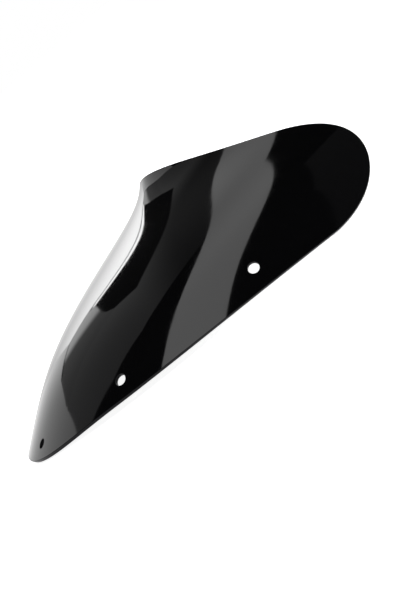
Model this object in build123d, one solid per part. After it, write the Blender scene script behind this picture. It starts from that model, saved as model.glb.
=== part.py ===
"""Motorcycle windshield screen: one sheet of acrylic, drawn to shape over a mould.

Frame: the screen rests on its lower rim, +Z up, nose towards -Y, mirrored about X = 0.
The origin is at the bottom centre of the sheet's box. Millimetres throughout.
The sheet is designed from its outer skin, with the front of the nose at the design origin,
and the finished sheet is then moved so that the origin of the part is where it should be.
"""
from build123d import *
from math import exp, log, radians, tan
import os

# Sheet
SHEET_THICKNESS = 4.0
SETBACK_LENGTH = 330.0  # front of the nose to the end of the ears, on the outer skin

# Plan curve of the skin: round at the nose, steepening along the sides
NOSE_RADIUS = 100.0
STEEPENING_WIDTH = 500.0  # half width at which the set-back would be twice a parabola's

# Centre-line profile of the skin: set-back per millimetre of height
NOSE_LEAN = 1.4
CROWN_LEAN = 5.5
LIP_LEAN = 0.35
CROWN_BEND_HEIGHT = 66.0
CROWN_BEND_SOFTNESS = 12.5
LIP_BEND_HEIGHT = 96.0
LIP_BEND_SOFTNESS = 9.0
LIP_BEND_RISE = 0.1  # rise of the lip bend per millimetre of plan set-back

# Outline of the skin in the side view
RIM_CREST_SETBACK = 46.0  # where the rim arches highest off the floor
RIM_CREST_HEIGHT = 3.8
RIM_END_SETBACK = 254.0  # where the rim starts to turn up round the ear
RIM_END_DROP = 2.0  # brings the ears down to the floor that the nose rests on
EAR_TIP_HEIGHT = 53.2
EAR_TOP_RADIUS = 38.7
TOP_EDGE_SLOPE = 34.5  # degrees that the top edge falls towards the ears

# Fixing holes, square to the skin: distance from the centre line, height, diameter
NOSE_HOLE = (0.0, 8.7, 9.0)
FRONT_SIDE_HOLE = (92.0, 16.0, 10.5)
REAR_SIDE_HOLE = (171.4, 18.5, 10.5)
HOLE_CUTTER_LENGTH = 6 * SHEET_THICKNESS

# Untrimmed skin: its extent, and how many defining points it has
SKIN_HALF_WIDTH = 245.0
SKIN_BOTTOM = -10.0
SKIN_TOP = 150.0
SKIN_COLUMNS = 41
SKIN_ROWS = 33
SKIN_TOLERANCE = 0.01
TRIM_MARGIN = 30.0  # how far the trimming body reaches past the skin
BOX_TOLERANCE = 0.01  # fineness of the mesh that the sheet's box is measured on


def spaced(start, end, count):
    """Evenly spaced numbers from start to end."""
    return [start + (end - start) * i / (count - 1) for i in range(count)]


def ramp(height, bend, softness):
    """Zero below the bend, height above it, with a smooth corner between."""
    return softness * log(1 + exp((height - bend) / softness))


def plan_setback(x):
    """Set-back of the plan curve at a distance x from the centre line."""
    return x * x / (2 * NOSE_RADIUS) * (1 + (x / STEEPENING_WIDTH) ** 2)


def profile_setback(z, lip_bend):
    """Set-back of the profile at a height z, where its lip bends at the height lip_bend."""
    crown = (CROWN_LEAN - NOSE_LEAN) * ramp(z, CROWN_BEND_HEIGHT, CROWN_BEND_SOFTNESS)
    lip = (CROWN_LEAN - LIP_LEAN) * ramp(z, lip_bend, LIP_BEND_SOFTNESS)
    return NOSE_LEAN * z + crown - lip


def skin_point(x, z):
    """Point of the outer skin at a distance x from the centre line and a height z."""
    plan = plan_setback(x)
    lip_bend = LIP_BEND_HEIGHT + LIP_BEND_RISE * plan
    setback = plan + profile_setback(z, lip_bend) - profile_setback(0, LIP_BEND_HEIGHT)
    return Vector(x, setback, z)


def skin_normal(x, z):
    """Unit vector square to the skin, on its windward side."""
    step = 0.01
    across = skin_point(x + step, z) - skin_point(x - step, z)
    upward = skin_point(x, z + step) - skin_point(x, z - step)
    return across.cross(upward).normalized()


def untrimmed_skin():
    """Outer face of the sheet as it comes off the mould, larger than its outline."""
    columns = spaced(-SKIN_HALF_WIDTH, SKIN_HALF_WIDTH, SKIN_COLUMNS)
    rows = spaced(SKIN_BOTTOM, SKIN_TOP, SKIN_ROWS)
    points = [[skin_point(x, z) for x in columns] for z in rows]
    return Face.make_surface_from_array_of_points(points, tol=SKIN_TOLERANCE)


def arch_point(start, crest, share):
    """Point of a parabola from start to its crest, both (setback, height)."""
    setback = start[0] + share * (crest[0] - start[0])
    height = crest[1] - (crest[1] - start[1]) * (1 - share) ** 2
    return setback, height


def trimming_body():
    """Body across the whole width whose side view is the sheet's outline."""
    nose = (0, 0)
    crest = (RIM_CREST_SETBACK, RIM_CREST_HEIGHT)
    rim_front = arch_point(nose, crest, -TRIM_MARGIN / RIM_CREST_SETBACK)
    rim_end = (RIM_END_SETBACK, -RIM_END_DROP)
    ear_under = (RIM_END_SETBACK, EAR_TIP_HEIGHT)
    ear_above = (SETBACK_LENGTH - EAR_TOP_RADIUS, EAR_TIP_HEIGHT)
    top_slope = tan(radians(TOP_EDGE_SLOPE))
    with BuildSketch(Plane.YZ) as outline:
        with BuildLine():
            ThreePointArc(rim_front, nose, crest)
            ThreePointArc(crest, arch_point(rim_end, crest, 0.5), rim_end)
            EllipticalCenterArc(
                ear_under, SETBACK_LENGTH - RIM_END_SETBACK, EAR_TIP_HEIGHT + RIM_END_DROP, 270, arc_size=90
            )
            ear_top = CenterArc(ear_above, EAR_TOP_RADIUS, 0, 90 - TOP_EDGE_SLOPE)
            top_end = ear_top @ 1
            top_front = (-TRIM_MARGIN, top_end.Y + (top_end.X + TRIM_MARGIN) * top_slope)
            Polyline(top_end, top_front, rim_front)
        make_face()
    return extrude(outline.sketch, SKIN_HALF_WIDTH + TRIM_MARGIN, both=True).solid()


def fixing_hole(x, z, diameter):
    """Cutter for one hole, square to the skin."""
    place = Plane(origin=skin_point(x, z), z_dir=skin_normal(x, z))
    return place * Cylinder(diameter / 2, HOLE_CUTTER_LENGTH)


def fixing_holes():
    """Cutters for the hole in the nose and for the pairs along the sides."""
    cutters = [fixing_hole(*NOSE_HOLE)]
    for x, z, diameter in (FRONT_SIDE_HOLE, REAR_SIDE_HOLE):
        cutters += [fixing_hole(side * x, z, diameter) for side in (-1, 1)]
    return cutters


def to_part_frame(sheet):
    """Move the sheet so that its box stands on the origin."""
    points, _ = sheet.tessellate(BOX_TOLERANCE)
    setbacks = [point.Y for point in points]
    middle = (min(setbacks) + max(setbacks)) / 2
    return sheet.moved(Location((0, -middle, -min(point.Z for point in points))))


def screen_shell():
    """The drawn, trimmed and drilled sheet."""
    skin = untrimmed_skin().intersect(trimming_body()).face()
    windward = skin.normal_at(skin_point(0, NOSE_HOLE[1])).dot(skin_normal(0, NOSE_HOLE[1])) > 0
    inward = -SHEET_THICKNESS if windward else SHEET_THICKNESS
    sheet = Solid.thicken(skin, inward)
    for cutter in fixing_holes():
        sheet = sheet - cutter
    return to_part_frame(sheet.solid())


os.makedirs("parts", exist_ok=True)
shell = screen_shell()
shell.label = "screen_shell"
export_step(shell, "parts/screen_shell.step")
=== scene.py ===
"""Motorcycle windshield screen: one drawn sheet of gloss black acrylic, and the studio around it.

The sheet is built as a fine mesh on the sizes that it is drawn and trimmed to, in millimetres
with the front of the nose at the origin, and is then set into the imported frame, in metres.
"""

import bmesh
import bpy
import numpy as np
from math import cos, pi, radians, sin
from mathutils import Matrix, Vector
from mathutils.geometry import delaunay_2d_cdt
from typing import NamedTuple


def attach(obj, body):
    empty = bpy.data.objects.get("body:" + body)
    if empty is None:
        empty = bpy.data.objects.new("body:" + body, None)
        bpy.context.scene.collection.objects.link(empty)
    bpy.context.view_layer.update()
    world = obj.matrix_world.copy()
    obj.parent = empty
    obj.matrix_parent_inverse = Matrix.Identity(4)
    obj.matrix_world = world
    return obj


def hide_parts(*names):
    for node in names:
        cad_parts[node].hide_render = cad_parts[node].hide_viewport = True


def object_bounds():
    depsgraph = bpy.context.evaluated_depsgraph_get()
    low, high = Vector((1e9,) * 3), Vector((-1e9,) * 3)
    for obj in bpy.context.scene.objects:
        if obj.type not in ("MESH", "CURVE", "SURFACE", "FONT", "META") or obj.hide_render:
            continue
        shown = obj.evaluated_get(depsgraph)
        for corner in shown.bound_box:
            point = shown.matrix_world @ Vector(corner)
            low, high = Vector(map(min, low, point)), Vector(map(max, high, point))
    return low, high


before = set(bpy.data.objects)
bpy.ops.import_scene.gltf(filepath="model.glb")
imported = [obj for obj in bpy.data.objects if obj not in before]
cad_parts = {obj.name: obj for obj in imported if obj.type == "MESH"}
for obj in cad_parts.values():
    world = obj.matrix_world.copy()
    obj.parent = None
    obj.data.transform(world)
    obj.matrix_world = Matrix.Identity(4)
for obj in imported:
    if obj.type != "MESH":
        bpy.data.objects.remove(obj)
CAD_LOW, CAD_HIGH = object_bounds()

MM = 0.001

# ---- The sheet's driving sizes (mm), as in the CAD part ----
SHEET_THICKNESS = 4.0
SETBACK_LENGTH = 330.0
NOSE_RADIUS = 100.0
STEEPENING_WIDTH = 500.0
NOSE_LEAN, CROWN_LEAN, LIP_LEAN = 1.4, 5.5, 0.35
CROWN_BEND_HEIGHT, CROWN_BEND_SOFTNESS = 66.0, 12.5
LIP_BEND_HEIGHT, LIP_BEND_SOFTNESS, LIP_BEND_RISE = 96.0, 9.0, 0.1
RIM_CREST = (46.0, 3.8)  # set-back and height
RIM_END = (254.0, -2.0)
EAR_TIP_HEIGHT = 53.2
EAR_TOP_RADIUS = 38.7
TOP_EDGE_SLOPE = radians(34.5)
TRIM_MARGIN = 30.0
NOSE_HOLE = (0.0, 8.7, 9.0)  # distance from the centre line, height, diameter
FRONT_SIDE_HOLE = (92.0, 16.0, 10.5)
REAR_SIDE_HOLE = (171.4, 18.5, 10.5)

# ---- Rounding of the cut edges (mm) ----
EDGE_ROUNDING = 0.4
HOLE_ROUNDING = 0.3

# ---- Mesh fineness (mm, and counts) ----
GRID_STEP = 3.0
GRID_CLEARANCE = 0.55 * GRID_STEP  # least distance of the grid's points from an edge
EDGE_STEP = 2.0
HOLE_SEGMENTS = 48
ROUNDING_SEGMENTS = 4
QUAD_BEND, QUAD_SKEW = radians(20.0), radians(60.0)  # most that a quad of two triangles may have

# ---- Laying out the sheet (mm, and counts) ----
CHART_TILT = radians(30.0)  # rise to the rear of the board that the skin is laid out flat on
SKIN_LOW, SKIN_HIGH = -25.0, 160.0  # heights that hold the whole skin
SKIN_HALF_WIDTH = 300.0  # wider than the skin
LONGEST_TOP_EDGE = 90.0  # longer than the top edge is in the side view
OUTLINE_SAMPLES = 2001  # of each stretch, before the outline is spaced out evenly
BISECTIONS = 48
HOLE_CORRECTIONS = 20
SLOPE_STEP = 0.01
MERGE_DISTANCE = 1e-6

# ---- Finishes, and the materials' places in the mesh ----
SKIN_FINISH, CUT_FINISH = 0, 1
ACRYLIC_IOR = 1.49
GLOSS_COLOUR = (0.0035, 0.0035, 0.0042, 1.0)
GLOSS_ROUGHNESS = (0.035, 0.06)
PEEL_DEPTH = 0.02 * MM
CUT_COLOUR = (0.0045, 0.0045, 0.0055, 1.0)
CUT_ROUGHNESS = (0.22, 0.38)
CUT_SPECULAR = 0.06
CUTTER_MARK_DEPTH = 0.03 * MM
NOISE_SPAN = (0.3, 0.7)  # nearly all that a noise texture gives

# ---- Studio (m, and radiance where the white of the room is 1) ----
WHITE = (1.0, 1.0, 1.0, 1.0)
ROOM_RADIANCE = 0.012  # of the room as the sheet reflects it
FLOOR_COLOUR = (0.86, 0.86, 0.86, 1.0)
FLOOR_ROUGHNESS = (0.6, 0.75)
FLOOR_REACH = 12.0
FLOOR_GAP = 0.2 * MM
FLOOR_FADE = (0.25, 0.9)  # distances from the origin over which the floor's glow rises
FLOOR_GLOW = (0.9, 1.0)
WALL_X = -1.6
CEILING_Z = 1.6
CEILING_GAP = 0.01  # from the ceiling to the card that hangs under the others
BOW_POINTS = 13
ACROSS, REARWARD, UPWARD = (1, 0, 0), (0, 1, 0), (0, 0, 1)

# Corners of the light cards on the wall (y, z)
WALL_FRONT = [
    (0.33, 0.0), (0.33, 0.66), (0.20, 0.76), (0.0, 0.94), (-0.43, 1.50), (-1.2, 2.9),
    (-1.6, 3.6), (-2.8, 3.6), (-2.8, 0.0),
]
WALL_SIDE = [(1.9, 0.0), (1.9, 1.65), (0.72, 1.02), (0.45, 0.72), (0.33, 0.66), (0.33, 0.0)]
WALL_TRIM = [(1.9, 1.68), (1.9, 1.78), (0.72, 1.11), (0.46, 0.82), (0.46, 0.76), (0.72, 1.04)]
WALL_GREY = [
    (0.33, 0.67), (0.45, 0.73), (0.46, 0.82), (0.43, 0.94), (0.38, 1.12), (0.33, 1.33),
    (0.30, 1.60), (-0.48, 1.60), (-0.42, 1.52), (0.02, 0.95), (0.21, 0.77),
]

# Corners of the light cards on the ceiling (x, y), and the start, middle and end of two bowed edges
CEILING_CHARCOAL = [
    (-1.85, 0.80), (-1.2, 0.74), (-0.70, 0.42), (-0.35, 0.15), (-0.22, -0.20), (-0.19, -0.40),
    (-0.36, -0.62), (-0.66, -0.74), (-0.95, -0.72), (-1.7, -0.46), (-2.8, 0.10), (-2.6, 0.32),
    (-1.29, 0.30),
]
CEILING_DIM = [(0.45, 0.25), (1.3, 0.02), (2.6, -0.1), (2.6, 1.2), (0.45, 1.2)]
STRIP_LEFT_BOW = ((-1.2, 0.67), (-0.05, -0.07), (0.5, -0.85))
STRIP_RIGHT_BOW = ((1.2, -0.65), (0.503, 0.015), (-0.589, 0.578))
STRIP_FAR_END = [(-1.0, 0.90), (-1.4, 0.90)]

# ---- Camera (m, and mm for the lens and the sensor) ----
CAMERA_AIM = Vector((0.0290, 0.0407, 0.0113))
CAMERA_AZIMUTH, CAMERA_ELEVATION, CAMERA_ROLL = radians(62.66), radians(8.008), radians(39.86)
CAMERA_DISTANCE = 2.1227
CAMERA_LENS = 142.23
CAMERA_SENSOR = 36.0


# ---- The skin as drawn over its mould ----
def ramp(height, bend, softness):
    """Zero below the bend, height above it, with a smooth corner between."""
    return softness * np.logaddexp(0.0, (height - bend) / softness)


def ramp_slope(height, bend, softness):
    """Slope of the ramp: from 0 below the bend to 1 above it."""
    return 0.5 * (1.0 + np.tanh((height - bend) / (2.0 * softness)))


def plan_setback(x):
    """Set-back of the plan curve at a distance x from the centre line."""
    return x * x / (2.0 * NOSE_RADIUS) * (1.0 + (x / STEEPENING_WIDTH) ** 2)


def lip_bend(x):
    """Height at which the lip bends, at a distance x from the centre line."""
    return LIP_BEND_HEIGHT + LIP_BEND_RISE * plan_setback(x)


def profile_setback(z, bend):
    """Set-back of the profile at a height z, where its lip bends at the height bend."""
    crown = (CROWN_LEAN - NOSE_LEAN) * ramp(z, CROWN_BEND_HEIGHT, CROWN_BEND_SOFTNESS)
    lip = (CROWN_LEAN - LIP_LEAN) * ramp(z, bend, LIP_BEND_SOFTNESS)
    return NOSE_LEAN * z + crown - lip


def skin_setback(x, z):
    """Set-back y of the outer skin."""
    return plan_setback(x) + profile_setback(z, lip_bend(x)) - profile_setback(0.0, LIP_BEND_HEIGHT)


def skin(x, z, depth=0.0):
    """Points and outward normals at a depth below the outer skin."""
    lip = ramp_slope(z, lip_bend(x), LIP_BEND_SOFTNESS) * (CROWN_LEAN - LIP_LEAN)
    crown = ramp_slope(z, CROWN_BEND_HEIGHT, CROWN_BEND_SOFTNESS) * (CROWN_LEAN - NOSE_LEAN)
    plan_slope = x / NOSE_RADIUS * (1.0 + 2.0 * (x / STEEPENING_WIDTH) ** 2)
    slope_x = plan_slope * (1.0 + LIP_BEND_RISE * lip)
    slope_z = NOSE_LEAN + crown - lip
    normals = np.stack([slope_x, -np.ones_like(slope_x), slope_z], axis=-1)
    normals /= np.linalg.norm(normals, axis=-1, keepdims=True)
    points = np.stack([x, skin_setback(x, z), z], axis=-1)
    return points - depth * normals, normals


def bisect(function, low, high):
    """Where a rising function of an array crosses zero."""
    for _ in range(BISECTIONS):
        middle = 0.5 * (low + high)
        below = function(middle) < 0.0
        low, high = np.where(below, middle, low), np.where(below, high, middle)
    return 0.5 * (low + high)


# ---- The flat chart of the skin: x across, and distance along a tilted board ----
def along_board(y, z):
    """Distance along the tilted board."""
    return cos(CHART_TILT) * y + sin(CHART_TILT) * z


def to_chart(points):
    """Chart points straight over or under the points."""
    return np.stack([points[:, 0], along_board(points[:, 1], points[:, 2])], axis=-1)


def height_on_chart(chart):
    """Height of the skin at each chart point."""
    x, along = chart[:, 0], chart[:, 1]

    def beyond(z):
        """How far the skin at the height z lies past the chart point."""
        return along_board(skin_setback(x, z), z) - along

    return bisect(beyond, np.full_like(x, SKIN_LOW), np.full_like(x, SKIN_HIGH))


# ---- Outline of the sheet ----
def circle_centre(a, b, c):
    """Centre of the circle through three (y, z) points."""
    rows = 2.0 * np.array([np.subtract(b, a), np.subtract(c, a)])
    return np.linalg.solve(rows, [np.dot(b, b) - np.dot(a, a), np.dot(c, c) - np.dot(a, a)])


def arc(centre, start, end, shares):
    """Points along the shorter arc round centre from start to end, at shares of its angle."""
    spoke, last = np.subtract(start, centre), np.subtract(end, centre)
    first = np.arctan2(spoke[1], spoke[0])
    sweep = (np.arctan2(last[1], last[0]) - first + pi) % (2.0 * pi) - pi
    angles = first + shares * sweep
    return centre + np.linalg.norm(spoke) * np.stack([np.cos(angles), np.sin(angles)], axis=-1)


def arch_point(start, crest, share):
    """Point of a parabola from start to its crest."""
    height = crest[1] - (crest[1] - start[1]) * (1.0 - share) ** 2
    return start[0] + share * (crest[0] - start[0]), height


def top_edge(start, shares):
    """Points of the straight top edge, from its rear end to where it meets the centre line's profile."""

    def beyond(run):
        """How far the edge has come out in front of the skin, after a run towards the nose."""
        height = start[1] + run * sin(TOP_EDGE_SLOPE)
        return skin_setback(np.zeros_like(run), height) - (start[0] - run * cos(TOP_EDGE_SLOPE))

    longest = bisect(beyond, np.zeros(1), np.full(1, LONGEST_TOP_EDGE))
    run = longest * (1.0 - (1.0 - shares) ** 2)
    return np.array(start) + run[:, None] * (-cos(TOP_EDGE_SLOPE), sin(TOP_EDGE_SLOPE))


def side_outline():
    """Side view (y, z) of half the outline: from the nose round the ear to the top of the lip."""
    even = np.linspace(0.0, 1.0, OUTLINE_SAMPLES)
    nose = (0.0, 0.0)
    before_nose = arch_point(nose, RIM_CREST, -TRIM_MARGIN / RIM_CREST[0])
    front_centre = circle_centre(before_nose, nose, RIM_CREST)
    rear_centre = circle_centre(RIM_CREST, arch_point(RIM_END, RIM_CREST, 0.5), RIM_END)
    ear_turn = pi / 2 * even
    under_ear = np.stack([
        RIM_END[0] + (SETBACK_LENGTH - RIM_END[0]) * np.sin(ear_turn),
        EAR_TIP_HEIGHT + (RIM_END[1] - EAR_TIP_HEIGHT) * np.cos(ear_turn),
    ], axis=-1)
    above_ear = (SETBACK_LENGTH - EAR_TOP_RADIUS, EAR_TIP_HEIGHT)
    top_end = (
        above_ear[0] + EAR_TOP_RADIUS * sin(TOP_EDGE_SLOPE),
        above_ear[1] + EAR_TOP_RADIUS * cos(TOP_EDGE_SLOPE),
    )
    return np.concatenate([
        arc(front_centre, nose, RIM_CREST, even**2),
        arc(rear_centre, RIM_CREST, RIM_END, even)[1:],
        under_ear[1:],
        arc(above_ear, under_ear[-1], top_end, even)[1:],
        top_edge(top_end, even)[1:],
    ])


def outline_loop():
    """Evenly spaced (x, z) round the whole outline, anticlockwise seen from outside."""
    setback, z = side_outline().T
    x = bisect(
        lambda width: skin_setback(width, z) - setback,
        np.zeros_like(z), np.full_like(z, SKIN_HALF_WIDTH),
    )
    points, _ = skin(x, z)
    run = np.concatenate([[0.0], np.cumsum(np.linalg.norm(np.diff(points, axis=0), axis=1))])
    stops = np.linspace(0.0, run[-1], int(round(run[-1] / EDGE_STEP)) + 1)
    half = np.stack([np.interp(stops, run, x), np.interp(stops, run, z)], axis=-1)
    half[[0, -1], 0] = 0.0
    return np.concatenate([half, half[-2:0:-1] * (-1.0, 1.0)])


def outward_along(points, normals):
    """Unit vectors in the skin, square to a loop, away from the material on its left."""
    along = np.roll(points, -1, axis=0) - np.roll(points, 1, axis=0)
    outward = np.cross(along, normals)
    return outward / np.linalg.norm(outward, axis=1, keepdims=True)


# ---- Cuts: the trimmed outline and the drilled holes ----
class Cut(NamedTuple):
    """Edge of the sheet, given where the flats of both skins end and its rounding starts."""

    outer: np.ndarray  # (x, z) round the outer skin
    inner: np.ndarray  # (x, z) round the inner skin
    outward: np.ndarray  # unit vectors off the sheet
    rounding: float


def outline_cut(trimmed, normals):
    """Cut along the outline, from its sharp points and the skin's normals there."""
    outward = outward_along(trimmed, normals)
    chart = to_chart(trimmed - EDGE_ROUNDING * outward)
    loop = np.stack([chart[:, 0], height_on_chart(chart)], axis=-1)
    return Cut(loop, loop, outward, EDGE_ROUNDING)


def hole_ring(x, z, radius, depth):
    """(x, z) round a hole at a depth, clockwise seen from outside, and the way to its axis."""
    centre, axis = (a[0] for a in skin(np.array([x]), np.array([z])))
    side = np.cross(axis, UPWARD)
    side /= np.linalg.norm(side)
    square_to_axis = np.array([side, np.cross(axis, side)])
    angles = -2.0 * pi * np.arange(HOLE_SEGMENTS) / HOLE_SEGMENTS
    target = radius * np.stack([np.cos(angles), np.sin(angles)], axis=-1)
    across = (skin(np.array([x + SLOPE_STEP]), np.array([z]))[0][0] - centre) / SLOPE_STEP
    upward = (skin(np.array([x]), np.array([z + SLOPE_STEP]))[0][0] - centre) / SLOPE_STEP
    inverse = np.linalg.inv(square_to_axis @ np.stack([across, upward], axis=-1))
    ring = np.tile([x, z], (HOLE_SEGMENTS, 1)).astype(float)
    for _ in range(HOLE_CORRECTIONS):
        points, _ = skin(ring[:, 0], ring[:, 1], depth)
        ring += (target - (points - centre) @ square_to_axis.T) @ inverse.T
    return ring, -(target / radius) @ square_to_axis


def hole_cut(x, z, diameter):
    """Cut round one hole, drilled square to the skin."""
    radius = diameter / 2 + HOLE_ROUNDING
    outer, outward = hole_ring(x, z, radius, 0.0)
    inner, _ = hole_ring(x, z, radius, SHEET_THICKNESS)
    return Cut(outer, inner, outward, HOLE_ROUNDING)


def hole_cuts():
    """Cuts round the hole in the nose and the pairs along the sides."""
    cuts = [hole_cut(*NOSE_HOLE)]
    for x, z, diameter in (FRONT_SIDE_HOLE, REAR_SIDE_HOLE):
        cuts += [hole_cut(side * x, z, diameter) for side in (-1, 1)]
    return cuts


# ---- Meshing ----
def segments(loops):
    """All the edges of closed chart loops, as pairs of ends."""
    return [(a, b) for loop in loops for a, b in zip(loop, np.roll(loop, -1, axis=0))]


def inside(points, loops):
    """Whether each chart point is in the outline and out of the holes."""
    odd = np.zeros(len(points), bool)
    for a, b in segments(loops):
        crosses = (a[1] > points[:, 1]) != (b[1] > points[:, 1])
        if crosses.any():
            at = a[0] + (points[:, 1] - a[1]) * (b[0] - a[0]) / (b[1] - a[1])
            odd ^= crosses & (points[:, 0] < at)
    return odd


def clearance(points, loops):
    """Distance from each chart point to the nearest loop."""
    nearest = np.full(len(points), np.inf)
    for a, b in segments(loops):
        along = b - a
        share = np.clip((points - a) @ along / (along @ along), 0.0, 1.0)
        nearest = np.minimum(nearest, np.linalg.norm(points - a - share[:, None] * along, axis=1))
    return nearest


def chart_triangles(loops):
    """Chart points, the loops' first, and anticlockwise triangles that fill the loops."""
    low, high = loops[0].min(axis=0), loops[0].max(axis=0)
    columns = np.arange(-int(high[0] / GRID_STEP), int(high[0] / GRID_STEP) + 1) * GRID_STEP
    rows = np.arange(low[1], high[1], GRID_STEP)
    grid = np.stack(np.meshgrid(columns, rows), axis=-1).reshape(-1, 2)
    grid = grid[inside(grid, loops)]
    grid = grid[clearance(grid, loops) > GRID_CLEARANCE]
    points = np.concatenate([*loops, grid])
    edges, first = [], 0
    for loop in loops:
        edges += [(first + i, first + (i + 1) % len(loop)) for i in range(len(loop))]
        first += len(loop)
    made = delaunay_2d_cdt([Vector(p) for p in points], edges, [], 0, MERGE_DISTANCE)
    came_from = [originals[0] for originals in made[3]]
    triangles = np.array([[came_from[i] for i in face] for face in made[2]])
    corners = points[triangles]
    turn = np.cross(corners[:, 1] - corners[:, 0], corners[:, 2] - corners[:, 0])
    triangles[turn < 0] = triangles[turn < 0][:, ::-1]
    return points, triangles[inside(corners.mean(axis=1), loops)]


def skin_mesh(loops, depth):
    """Points, outward normals and triangles that fill the (x, z) loops at a depth, the loops' first."""
    chart, triangles = chart_triangles([to_chart(skin(*loop.T)[0]) for loop in loops])
    points, normals = skin(chart[:, 0], height_on_chart(chart), depth)
    return points, normals, triangles


def edge_rings(outer, inner, outward, rounding):
    """Rings of points and normals from the outer skin over a rounded edge to the inner skin."""
    rings = []
    for (points, normals), way, start in ((outer, -1.0, 0.0), (inner, 1.0, pi / 2)):
        centres = points + way * rounding * normals
        for angle in start + np.linspace(0.0, pi / 2, ROUNDING_SEGMENTS + 1):
            facing = cos(angle) * normals + sin(angle) * outward
            rings.append((centres + rounding * facing, facing))
    return rings


def quads_between(rings):
    """Faces that join each ring of point indices to the next."""
    return [
        quad
        for a, b in zip(rings, rings[1:])
        for quad in np.stack([a, b, np.roll(b, -1), np.roll(a, -1)], axis=-1).tolist()
    ]


def build_sheet():
    """Points, normals and faces of the closed sheet, each face's finish, and its box's low corner."""
    trimmed, trimmed_normals = skin(*outline_loop().T)
    cuts = [outline_cut(trimmed, trimmed_normals), *hole_cuts()]
    outer_points, outer_normals, outer_faces = skin_mesh([cut.outer for cut in cuts], 0.0)
    inner_points, inner_normals, inner_faces = skin_mesh([cut.inner for cut in cuts], SHEET_THICKNESS)
    points, normals = [outer_points, inner_points], [outer_normals, -inner_normals]
    inner_first = len(outer_points)
    faces = outer_faces.tolist() + (inner_faces[:, ::-1] + inner_first).tolist()
    finishes = [SKIN_FINISH] * len(faces)
    total = inner_first + len(inner_points)
    start = 0
    for cut in cuts:
        loop = start + np.arange(len(cut.outer))
        outer, inner = (outer_points[loop], outer_normals[loop]), (inner_points[loop], inner_normals[loop])
        indices = [loop]
        for ring_points, ring_normals in edge_rings(outer, inner, cut.outward, cut.rounding)[1:-1]:
            indices.append(total + np.arange(len(loop)))
            points.append(ring_points)
            normals.append(ring_normals)
            total += len(loop)
        edge_faces = quads_between([*indices, inner_first + loop])
        faces += edge_faces
        finishes += [CUT_FINISH] * len(edge_faces)
        start += len(loop)
    corners = np.concatenate([trimmed, trimmed - SHEET_THICKNESS * trimmed_normals])
    return np.concatenate(points), np.concatenate(normals), faces, finishes, corners.min(axis=0)


def linked(name, data):
    """New object in the scene."""
    made = bpy.data.objects.new(name, data)
    bpy.context.scene.collection.objects.link(made)
    return made


def join_skin_triangles(mesh):
    """Turn the skins' triangles into quads where the pair is flat and square enough."""
    work = bmesh.new()
    work.from_mesh(mesh)
    bmesh.ops.join_triangles(
        work, faces=[face for face in work.faces if face.material_index == SKIN_FINISH],
        angle_face_threshold=QUAD_BEND, angle_shape_threshold=QUAD_SKEW,
    )
    work.to_mesh(mesh)
    work.free()


def sheet_object(materials):
    """The sheet as one closed mesh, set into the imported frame."""
    points, normals, faces, finishes, lowest = build_sheet()
    place = np.array([0.0, CAD_LOW.y, CAD_LOW.z]) - MM * np.array([0.0, lowest[1], lowest[2]])
    mesh = bpy.data.meshes.new("screen_sheet")
    mesh.from_pydata((points * MM + place).tolist(), [], faces)
    for material in materials:
        mesh.materials.append(material)
    mesh.polygons.foreach_set("material_index", finishes)
    mesh.polygons.foreach_set("use_smooth", [True] * len(faces))
    join_skin_triangles(mesh)
    mesh.normals_split_custom_set_from_vertices(normals.tolist())
    mesh.update()
    return linked("screen_sheet", mesh)


# ---- Materials ----
def new_material(name):
    """New material, its node tree and its Principled shader."""
    material = bpy.data.materials.new(name)
    material.use_nodes = True
    tree = material.node_tree
    return material, tree, tree.nodes["Principled BSDF"]


def noise(tree, scale, detail):
    """Noise fixed to the object, in cycles per metre."""
    place = tree.nodes.new("ShaderNodeTexCoord")
    texture = tree.nodes.new("ShaderNodeTexNoise")
    texture.inputs["Scale"].default_value = scale
    texture.inputs["Detail"].default_value = detail
    tree.links.new(place.outputs["Object"], texture.inputs["Vector"])
    return texture.outputs["Fac"]


def between(tree, value, span, levels, passage="SMOOTHSTEP"):
    """Level that passes from the first to the second as the value crosses the span."""
    node = tree.nodes.new("ShaderNodeMapRange")
    node.interpolation_type = passage
    for name, number in zip(("From Min", "From Max", "To Min", "To Max"), (*span, *levels)):
        node.inputs[name].default_value = number
    tree.links.new(value, node.inputs["Value"])
    return node.outputs["Result"]


def bump(tree, height, depth):
    """Normal from a height map whose full range is depth, in metres."""
    node = tree.nodes.new("ShaderNodeBump")
    node.inputs["Strength"].default_value = 1.0
    node.inputs["Distance"].default_value = depth
    tree.links.new(height, node.inputs["Height"])
    return node.outputs["Normal"]


def gloss_acrylic():
    """Deep black drawn acrylic: mirror gloss, with the faint orange peel that drawing leaves."""
    material, tree, shader = new_material("gloss_black_acrylic")
    shader.inputs["Base Color"].default_value = GLOSS_COLOUR
    shader.inputs["IOR"].default_value = ACRYLIC_IOR
    haze = between(tree, noise(tree, scale=60.0, detail=4.0), NOISE_SPAN, GLOSS_ROUGHNESS, "LINEAR")
    tree.links.new(haze, shader.inputs["Roughness"])
    peel = bump(tree, noise(tree, scale=24.0, detail=1.0), PEEL_DEPTH)
    tree.links.new(peel, shader.inputs["Normal"])
    return material


def cut_edge():
    """The same acrylic where it is cut and flame-smoothed: duller, with fine cutter marks."""
    material, tree, shader = new_material("cut_black_acrylic")
    shader.inputs["Base Color"].default_value = CUT_COLOUR
    shader.inputs["IOR"].default_value = ACRYLIC_IOR
    shader.inputs["Specular IOR Level"].default_value = CUT_SPECULAR
    haze = between(tree, noise(tree, scale=900.0, detail=3.0), NOISE_SPAN, CUT_ROUGHNESS, "LINEAR")
    tree.links.new(haze, shader.inputs["Roughness"])
    marks = bump(tree, noise(tree, scale=1400.0, detail=2.0), CUTTER_MARK_DEPTH)
    tree.links.new(marks, shader.inputs["Normal"])
    return material


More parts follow.
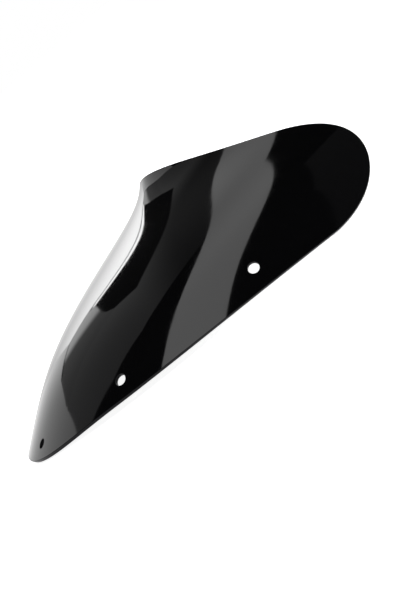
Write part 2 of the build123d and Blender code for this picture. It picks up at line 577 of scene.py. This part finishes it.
def pale_floor():
    """Plain pale studio floor that brightens into the white of the room round it."""
    material, tree, shader = new_material("pale_floor")
    shader.inputs["Base Color"].default_value = FLOOR_COLOUR
    haze = between(tree, noise(tree, scale=8.0, detail=3.0), NOISE_SPAN, FLOOR_ROUGHNESS, "LINEAR")
    tree.links.new(haze, shader.inputs["Roughness"])
    shader.inputs["Emission Color"].default_value = WHITE
    place = tree.nodes.new("ShaderNodeTexCoord")
    distance = tree.nodes.new("ShaderNodeVectorMath")
    distance.operation = "LENGTH"
    tree.links.new(place.outputs["Object"], distance.inputs[0])
    glow = between(tree, distance.outputs["Value"], FLOOR_FADE, FLOOR_GLOW)
    tree.links.new(glow, shader.inputs["Emission Strength"])
    return material


def card_light(name, direction, span, levels):
    """Glow whose radiance passes from one level to the other along a direction."""
    material = bpy.data.materials.new(name)
    material.use_nodes = True
    tree = material.node_tree
    tree.nodes.clear()
    place = tree.nodes.new("ShaderNodeTexCoord")
    along = tree.nodes.new("ShaderNodeVectorMath")
    along.operation = "DOT_PRODUCT"
    along.inputs[1].default_value = Vector(direction).normalized()
    tree.links.new(place.outputs["Object"], along.inputs[0])
    glow = tree.nodes.new("ShaderNodeEmission")
    out = tree.nodes.new("ShaderNodeOutputMaterial")
    tree.links.new(between(tree, along.outputs["Value"], span, levels), glow.inputs["Strength"])
    tree.links.new(glow.outputs["Emission"], out.inputs["Surface"])
    return material


# ---- Studio ----
def flat_panel(name, corners, material):
    """Object with one flat face."""
    mesh = bpy.data.meshes.new(name)
    mesh.from_pydata([tuple(map(float, corner)) for corner in corners], [], [tuple(range(len(corners)))])
    mesh.materials.append(material)
    return linked(name, mesh)


def bow(start, middle, end):
    """Points along the parabola that passes through start, middle and end."""
    t = np.linspace(0.0, 1.0, BOW_POINTS)[:, None]
    start, middle, end = map(np.array, (start, middle, end))
    return start * (1 - t) * (1 - 2 * t) + middle * 4 * t * (1 - t) + end * t * (2 * t - 1)


def light_card(name, corners, direction, span, levels):
    """Glowing card that lights the sheet and shows in its gloss, unseen by the camera."""
    card = flat_panel(name, corners, card_light(name, direction, span, levels))
    card.visible_camera = False
    card.visible_shadow = False


def on_wall(corners):
    """Places on the wall past the sheet's far side."""
    return [(WALL_X, y, z) for y, z in corners]


def on_ceiling(corners, gap=0.0):
    """Places at a gap under the ceiling."""
    return [(x, y, CEILING_Z - gap) for x, y in corners]


def wall_lights():
    """White band along the sheet's far contour, the thin line in it, and the grey that it fades into."""
    light_card("wall_front", on_wall(WALL_FRONT), REARWARD, span=(-0.2, 0.33), levels=(1.05, 1.4))
    light_card("wall_side", on_wall(WALL_SIDE), UPWARD, span=(0.22, 1.15), levels=(1.1, 4.6))
    light_card("wall_trim", on_wall(WALL_TRIM), REARWARD, span=(0.3, 0.6), levels=(2.0, 4.4))
    light_card("wall_grey", on_wall(WALL_GREY), (0, -1.2, 1), span=(0.288, 0.461), levels=(1.15, 0.24))


def ceiling_lights():
    """Charcoal field on the nose and the crown, the broad grey strip, and a faint light on the ear."""
    charcoal, dim = on_ceiling(CEILING_CHARCOAL), on_ceiling(CEILING_DIM)
    strip = on_ceiling([*bow(*STRIP_LEFT_BOW), *bow(*STRIP_RIGHT_BOW), *STRIP_FAR_END], CEILING_GAP)
    light_card("grey_card", charcoal, (-1, -2, 0), span=(0.08, 0.36), levels=(0.075, 0.27))
    light_card("ceiling_card", strip, ACROSS, span=(-0.9, 0.2), levels=(0.95, 1.9))
    light_card("dim_card", dim, ACROSS, span=(0.4, 2.6), levels=(0.07, 0.05))


def studio_floor():
    """The floor that the sheet rests on."""
    turns = [(-1, -1), (1, -1), (1, 1), (-1, 1)]
    corners = [(x * FLOOR_REACH, y * FLOOR_REACH, 0.0) for x, y in turns]
    floor = flat_panel("studio_floor", corners, pale_floor())
    floor.location.z = CAD_LOW.z - FLOOR_GAP


def surroundings():
    """White room as the camera sees it, and a dark one in the gloss of the sheet."""
    world = bpy.data.worlds.new("studio")
    bpy.context.scene.world = world
    world.use_nodes = True
    tree = world.node_tree
    tree.nodes.clear()
    path = tree.nodes.new("ShaderNodeLightPath")
    seen, lit = tree.nodes.new("ShaderNodeBackground"), tree.nodes.new("ShaderNodeBackground")
    for background, radiance in ((seen, 1.0), (lit, ROOM_RADIANCE)):
        background.inputs["Color"].default_value = WHITE
        background.inputs["Strength"].default_value = radiance
    mix, out = tree.nodes.new("ShaderNodeMixShader"), tree.nodes.new("ShaderNodeOutputWorld")
    tree.links.new(path.outputs["Is Camera Ray"], mix.inputs["Fac"])
    tree.links.new(lit.outputs["Background"], mix.inputs[1])
    tree.links.new(seen.outputs["Background"], mix.inputs[2])
    tree.links.new(mix.outputs["Shader"], out.inputs["Surface"])


def add_camera():
    """Camera on its tilted view of the sheet's left side."""
    data = bpy.data.cameras.new("camera")
    data.lens = CAMERA_LENS
    data.sensor_width = CAMERA_SENSOR
    back = Vector((
        sin(CAMERA_AZIMUTH) * cos(CAMERA_ELEVATION),
        -cos(CAMERA_AZIMUTH) * cos(CAMERA_ELEVATION),
        sin(CAMERA_ELEVATION),
    ))
    place = Matrix.Translation(CAMERA_AIM + CAMERA_DISTANCE * back)
    level = (-back).to_track_quat("-Z", "Y").to_matrix().to_4x4()
    camera = linked("camera", data)
    camera.matrix_world = place @ level @ Matrix.Rotation(-CAMERA_ROLL, 4, "Z")
    bpy.context.scene.camera = camera


sheet = sheet_object([gloss_acrylic(), cut_edge()])
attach(sheet, "root")
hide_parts("screen_shell")

studio_floor()
surroundings()
wall_lights()
ceiling_lights()
add_camera()
bpy.context.scene.view_settings.view_transform = "Standard"
